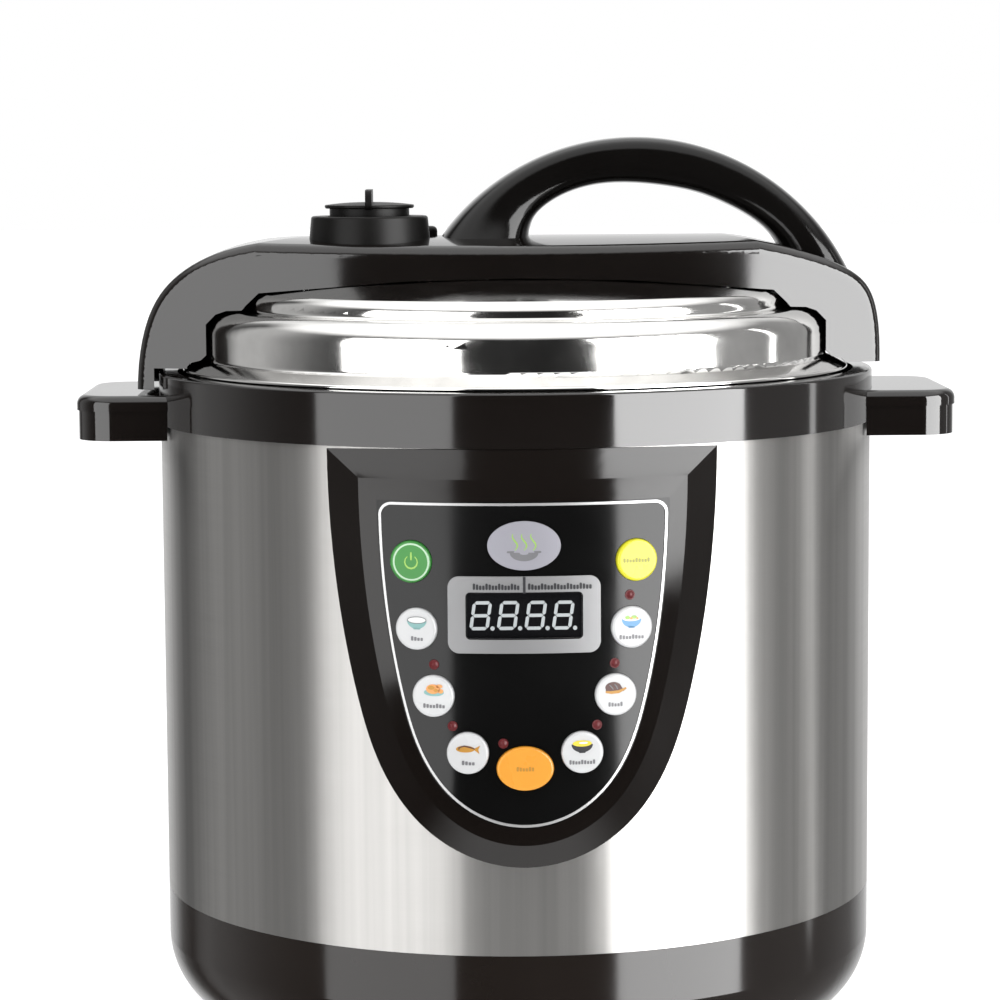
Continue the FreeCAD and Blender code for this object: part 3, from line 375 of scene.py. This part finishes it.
FACE_R = 139.6                            # front of the panel's face
LABEL_R = FACE_R + 0.35                   # front of the display label
BADGE_R = FACE_R + 0.7                    # front of the oval badge
CAP_R = 141.3                             # front of the push buttons
# Each picture is a list of layers, lowest first: the ink and its outlines about the button's middle.
PICTURES = {
    "rice": [("mint", [bowl(0, 3.0, 3.5, 2.9), bar(0, 0.2, 2.6, 0.6)]),
             ("white", [ellipse(0, 3.2, 3.2, 1.0)]), ("grey", [ring(0, 3.2, 3.5, 1.25, 0.22)])],
    "vegetable": [("blue", [bowl(0, 3.0, 3.6, 3.0), bar(0, 0.1, 2.4, 0.6)]),
                  ("white", [ellipse(0, 3.2, 3.3, 1.0)]),
                  ("leaf", [ellipse(-1.5, 3.5, 0.9, 0.6), ellipse(0.9, 3.6, 1.1, 0.6)]),
                  ("roast", [ellipse(-0.2, 3.2, 0.6, 0.4), ellipse(2.1, 3.2, 0.5, 0.35)])],
    "chicken": [("mint", [ellipse(0, 1.4, 3.6, 1.3)]),
                ("roast", [ellipse(-0.3, 2.6, 2.5, 1.7), ellipse(1.9, 3.6, 1.2, 0.7),
                           ellipse(2.4, 1.9, 1.0, 0.8)]),
                ("gold", [ellipse(-0.9, 3.1, 1.2, 0.7), ellipse(0.7, 2.2, 0.8, 0.5)])],
    "beef": [("brown", [ellipse(-0.8, 2.7, 2.9, 1.9, 10, 200, 20) + [(-3.5, 1.3), (3.2, 1.3)]]),
             ("gold", [stroke([(-3.6, 1.2), (-1.5, 0.9), (1.2, 1.1), (3.9, 2.3)], 1.1)]),
             ("grey", [stroke([(-2.2, 3.6), (-1.2, 2.6), (-0.8, 1.9)], 0.4),
                       stroke([(-0.4, 3.9), (0.4, 2.9), (0.8, 2.0)], 0.4)])],
    "fish": [("gold", [ellipse(-1.0, 1.6, 3.3, 1.2),
                       [(1.8, 1.6), (4.3, 3.0), (3.6, 1.5), (4.0, -0.1)]]),
             ("brown", [stroke([(-3.4, 2.0), (-1.4, 2.7), (0.9, 2.2), (2.4, 1.7)], 0.5)]),
             ("dark", [ellipse(-3.2, 1.7, 0.25, 0.25)])],
    "porridge": [("dark", [bowl(0, 3.0, 3.8, 2.9), bar(0, 0.2, 2.4, 0.6)]),
                 ("yellow", [ellipse(0, 3.3, 3.4, 1.1)]),
                 ("white", [ellipse(0.4, 3.5, 1.6, 0.35)])],
}
# Length of each button's caption.
CAPTIONS = {"rice": 4.6, "vegetable": 9.2, "chicken": 8.0, "beef": 5.4, "fish": 4.8,
            "porridge": 9.4, "cancel": 10.0, "start": 6.4}


def middle(node):
    """A node's angle from straight in front, and the height of its middle in mm."""
    low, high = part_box(node)
    x, y, z = ((a + b) / 2 / MM for a, b in zip(low, high))
    return math.atan2(x, -y), z


def caption(width, z, height=1.6):
    """A blank caption: a short row of blocks in a few heights, no letters."""
    pitch, fill = 1.1, 0.76
    count = max(round(width / pitch), 3)
    step = width / count
    blocks = []
    for k in range(count):
        tall = height * (1.0, 0.68, 0.68, 0.85)[k * 7 % 4]
        blocks += moved([rounded(step * fill, tall, tall * 0.2, 3)],
                        -width / 2 + step * (k + 0.5), z - (height - tall) / 2)
    return blocks


BELOW_PICTURE = -3.3                      # a caption's height from the button's middle
for key, width in CAPTIONS.items():
    node = "button_" + key
    angle, z = middle(node)
    low = BELOW_PICTURE if key in PICTURES else 0.0
    ink = {"cancel": "olive", "start": "gold"}.get(key, "grey")
    printed("caption_" + key, node, ink, caption(width, low), z, CAP_R, angle)
    for layer, (ink, shapes) in enumerate(PICTURES.get(key, [])):
        printed(f"picture_{key}_{ink}", node, ink, shapes, z, CAP_R, angle, layer)

# The power button: a pale ring at its rim, a painted highlight standing in for light caught on the
# rounded edge, and the open ring with a stroke through its gap.
RIM_HIGHLIGHT_R, RIM_HIGHLIGHT_WIDTH = 6.6, 0.6
SYMBOL_R = 2.3
angle, z = middle("button_power")
symbol_turns = [math.radians(125 + 29 * k) for k in range(11)]
printed("power_rim_highlight", "button_power", "rim_highlight_green",
        [ring(0, 0, RIM_HIGHLIGHT_R, RIM_HIGHLIGHT_R, RIM_HIGHLIGHT_WIDTH)], z, CAP_R, angle)
printed("power_symbol", "button_power", "leaf",
        [stroke([(SYMBOL_R * math.cos(t), SYMBOL_R * math.sin(t)) for t in symbol_turns], 0.6),
         stroke([(0, 0.6), (0, 2.0), (0, 3.4)], 0.7)],
        z, CAP_R, angle)

# The display label: two captions with a divider between them, and a border round the window.
z = middle("display_label")[1]
LABEL_CAPTIONS = ((16.5, -9.8), (22.5, 12.4))         # length and place of each
printed("label_captions", "cooker", "dark",
        [block for width, x in LABEL_CAPTIONS for block in moved(caption(width, 10.0, 2.3), x)],
        z, LABEL_R, curve=True)
printed("window_border", "cooker", "black",
        [(rounded(41.0, 16.6, 1.6, parts=8), rounded(40.0, 15.6, 0.1, parts=8))],
        z - 0.35, LABEL_R, curve=True)
printed("label_divider", "cooker", "dark", [[(-0.45, 7.6), (0.45, 7.6), (0.45, 13.4), (-0.45, 13.4)]],
        z, LABEL_R, curve=True)

# The badge: three wisps of steam over a bowl.
z = middle("oval_badge")[1]
wisp_steps = [k * 0.45 for k in range(12)]
steam = [stroke([(x + 0.9 * math.sin(t * 1.1), -1.0 + t * 1.15) for t in wisp_steps], 0.55)
         for x in (-3.2, 0.0, 3.2)]
printed("badge_steam", "cooker", "leaf", steam, z - 0.6, BADGE_R, curve=True)
printed("badge_pot", "cooker", "grey",
        [bowl(0, -2.4, 5.0, 3.0), bar(0, -2.2, 12.0, 0.7)], z, BADGE_R, curve=True)

# ---- camera --------------------------------------------------------------------
CAMERA_AT = Vector((-24.7, -1252.3, 343.4)) * MM
CAMERA_PITCH, CAMERA_YAW, CAMERA_ROLL = -0.110, -0.0148, -0.0065      # radians
cam_data = bpy.data.cameras.new("camera")
cam_data.sensor_width, cam_data.lens = 36.0, 116.28
camera = bpy.data.objects.new("camera", cam_data)
bpy.context.scene.collection.objects.link(camera)
turn = (Matrix.Rotation(CAMERA_YAW, 4, "Z") @ Matrix.Rotation(math.pi / 2 + CAMERA_PITCH, 4, "X")
        @ Matrix.Rotation(CAMERA_ROLL, 4, "Z"))
camera.matrix_world = Matrix.Translation(CAMERA_AT) @ turn
cam_data.clip_end = 60
bpy.context.scene.camera = camera

# ---- floor, light cards and surroundings ----------------------------------------
bpy.ops.mesh.primitive_plane_add(size=24, location=(0, 0, -0.0002))    # just clear of the feet
floor = bpy.context.object
floor.name = "floor"
floor.data.materials.append(new_material("floor_paper", (0.8, 0.8, 0.8), 0.9,
                                         Emission_Color=(1, 1, 1, 1), Emission_Strength=0.7))
floor.visible_glossy = floor.visible_shadow = False
MIDDLE = Vector((0, 0, 0.17))


def card(name, azimuth, elevation, reach, width, height, radiance, matt):
    """Soft box aimed at the cooker's middle; azimuth 0 is straight in front, positive to the right."""
    data = bpy.data.lights.new(name, "AREA")
    data.shape, data.size, data.size_y = "RECTANGLE", width, height
    data.energy = radiance * math.pi * width * height
    lamp = bpy.data.objects.new(name, data)
    bpy.context.scene.collection.objects.link(lamp)
    a, e = math.radians(azimuth), math.radians(elevation)
    back = Vector((math.sin(a) * math.cos(e), -math.cos(a) * math.cos(e), math.sin(e)))
    lamp.location = MIDDLE + back * reach
    lamp.rotation_mode = "QUATERNION"
    lamp.rotation_quaternion = back.to_track_quat("Z", "Y")
    lamp.visible_camera, lamp.visible_glossy, lamp.visible_diffuse = False, not matt, matt


# The first three are seen only as reflections; the last two light only matt surfaces.
card("left_softbox", -42.4, 7, 3.0, 2.5, 3.2, 3.0, matt=False)
card("right_softbox", 51.3, 7, 3.0, 2.5, 3.2, 10.0, matt=False)
card("edge_strip", 105, 8, 3.0, 0.16, 2.6, 3.0, matt=False)
card("key", 40, 48, 2.6, 1.6, 1.6, 3.2, matt=True)
card("fill", -50, 35, 2.6, 1.6, 1.6, 1.6, matt=True)

world = bpy.data.worlds.new("studio")
bpy.context.scene.world = world
world.use_nodes = True
tree = world.node_tree
tree.nodes.clear()


def wnode(kind, **values):
    """A new node of the world."""
    node = tree.nodes.new(kind)
    for key, value in values.items():
        setattr(node, key, value)
    return node


def wmath(operation, *values):
    """A maths node; each value is a number or another node's output."""
    node = wnode("ShaderNodeMath", operation=operation)
    for value, socket in zip(values, node.inputs):
        if isinstance(value, (int, float)):
            socket.default_value = value
        else:
            tree.links.new(value, socket)
    return node.outputs[0]


# What glossy surfaces see: a dark room behind the camera and a pale backdrop behind the cooker.
where = wnode("ShaderNodeTexCoord")
split = wnode("ShaderNodeSeparateXYZ")
tree.links.new(where.outputs["Generated"], split.inputs[0])
x, y, z = (split.outputs[k] for k in range(3))
azimuth = wmath("MULTIPLY", wmath("ARCTAN2", x, wmath("MULTIPLY", y, -1)), 1 / math.pi)
around = wnode("ShaderNodeValToRGB")
tree.links.new(wmath("MULTIPLY", wmath("ADD", azimuth, 1), 0.5), around.inputs[0])
# Azimuth in degrees, 0 to the front and positive to the right, and brightness.
SURROUND = [(-180, 1.0), (-154, 0.8), (-144, 0.22), (-134, 0.06), (-128, 0.32), (-122, 0.50),
            (-106, 0.45), (-99, 0.36), (-92, 0.26), (-80, 0.13), (-66, 0.05), (-62, 0.02),
            (30, 0.02), (76, 0.32), (102, 0.32), (112, 0.28), (136, 0.35), (150, 0.8), (180, 1.0)]
ramp = around.color_ramp
while len(ramp.elements) < len(SURROUND):
    ramp.elements.new(0.5)
for stop, (angle, level) in zip(ramp.elements, SURROUND):
    stop.position = angle / 360 + 0.5
    stop.color = (level, level, level, 1)
# Straight up and straight down it is bright all round.
OVERHEAD_LEVEL = 1.6
overhead = wnode("ShaderNodeMapRange", interpolation_type="SMOOTHSTEP")
for key, value in (("From Min", 0.55), ("From Max", 0.8), ("To Min", 0.0), ("To Max", 1.0)):
    overhead.inputs[key].default_value = value
tree.links.new(wmath("ABSOLUTE", z), overhead.inputs["Value"])
seen = wnode("ShaderNodeMix", data_type="RGBA")
tree.links.new(overhead.outputs[0], seen.inputs[0])
tree.links.new(around.outputs[0], seen.inputs[6])
seen.inputs[7].default_value = (OVERHEAD_LEVEL, OVERHEAD_LEVEL, OVERHEAD_LEVEL, 1)


def white(strength):
    """An even white background."""
    node = wnode("ShaderNodeBackground")
    node.inputs["Color"].default_value = (1, 1, 1, 1)
    node.inputs["Strength"].default_value = strength
    return node


# The camera sees plain white and matt surfaces a softer white; only glossy ones see the room.
path = wnode("ShaderNodeLightPath")
plain, ambient = white(1.0), white(0.55)
room = wnode("ShaderNodeBackground")
tree.links.new(seen.outputs[2], room.inputs["Color"])
glossy_mix, camera_mix = wnode("ShaderNodeMixShader"), wnode("ShaderNodeMixShader")
tree.links.new(path.outputs["Is Glossy Ray"], glossy_mix.inputs[0])
tree.links.new(ambient.outputs[0], glossy_mix.inputs[1])
tree.links.new(room.outputs[0], glossy_mix.inputs[2])
tree.links.new(path.outputs["Is Camera Ray"], camera_mix.inputs[0])
tree.links.new(glossy_mix.outputs[0], camera_mix.inputs[1])
tree.links.new(plain.outputs[0], camera_mix.inputs[2])
tree.links.new(camera_mix.outputs[0], wnode("ShaderNodeOutputWorld").inputs["Surface"])

view = bpy.context.scene.view_settings
view.view_transform, view.look = "Standard", "None"
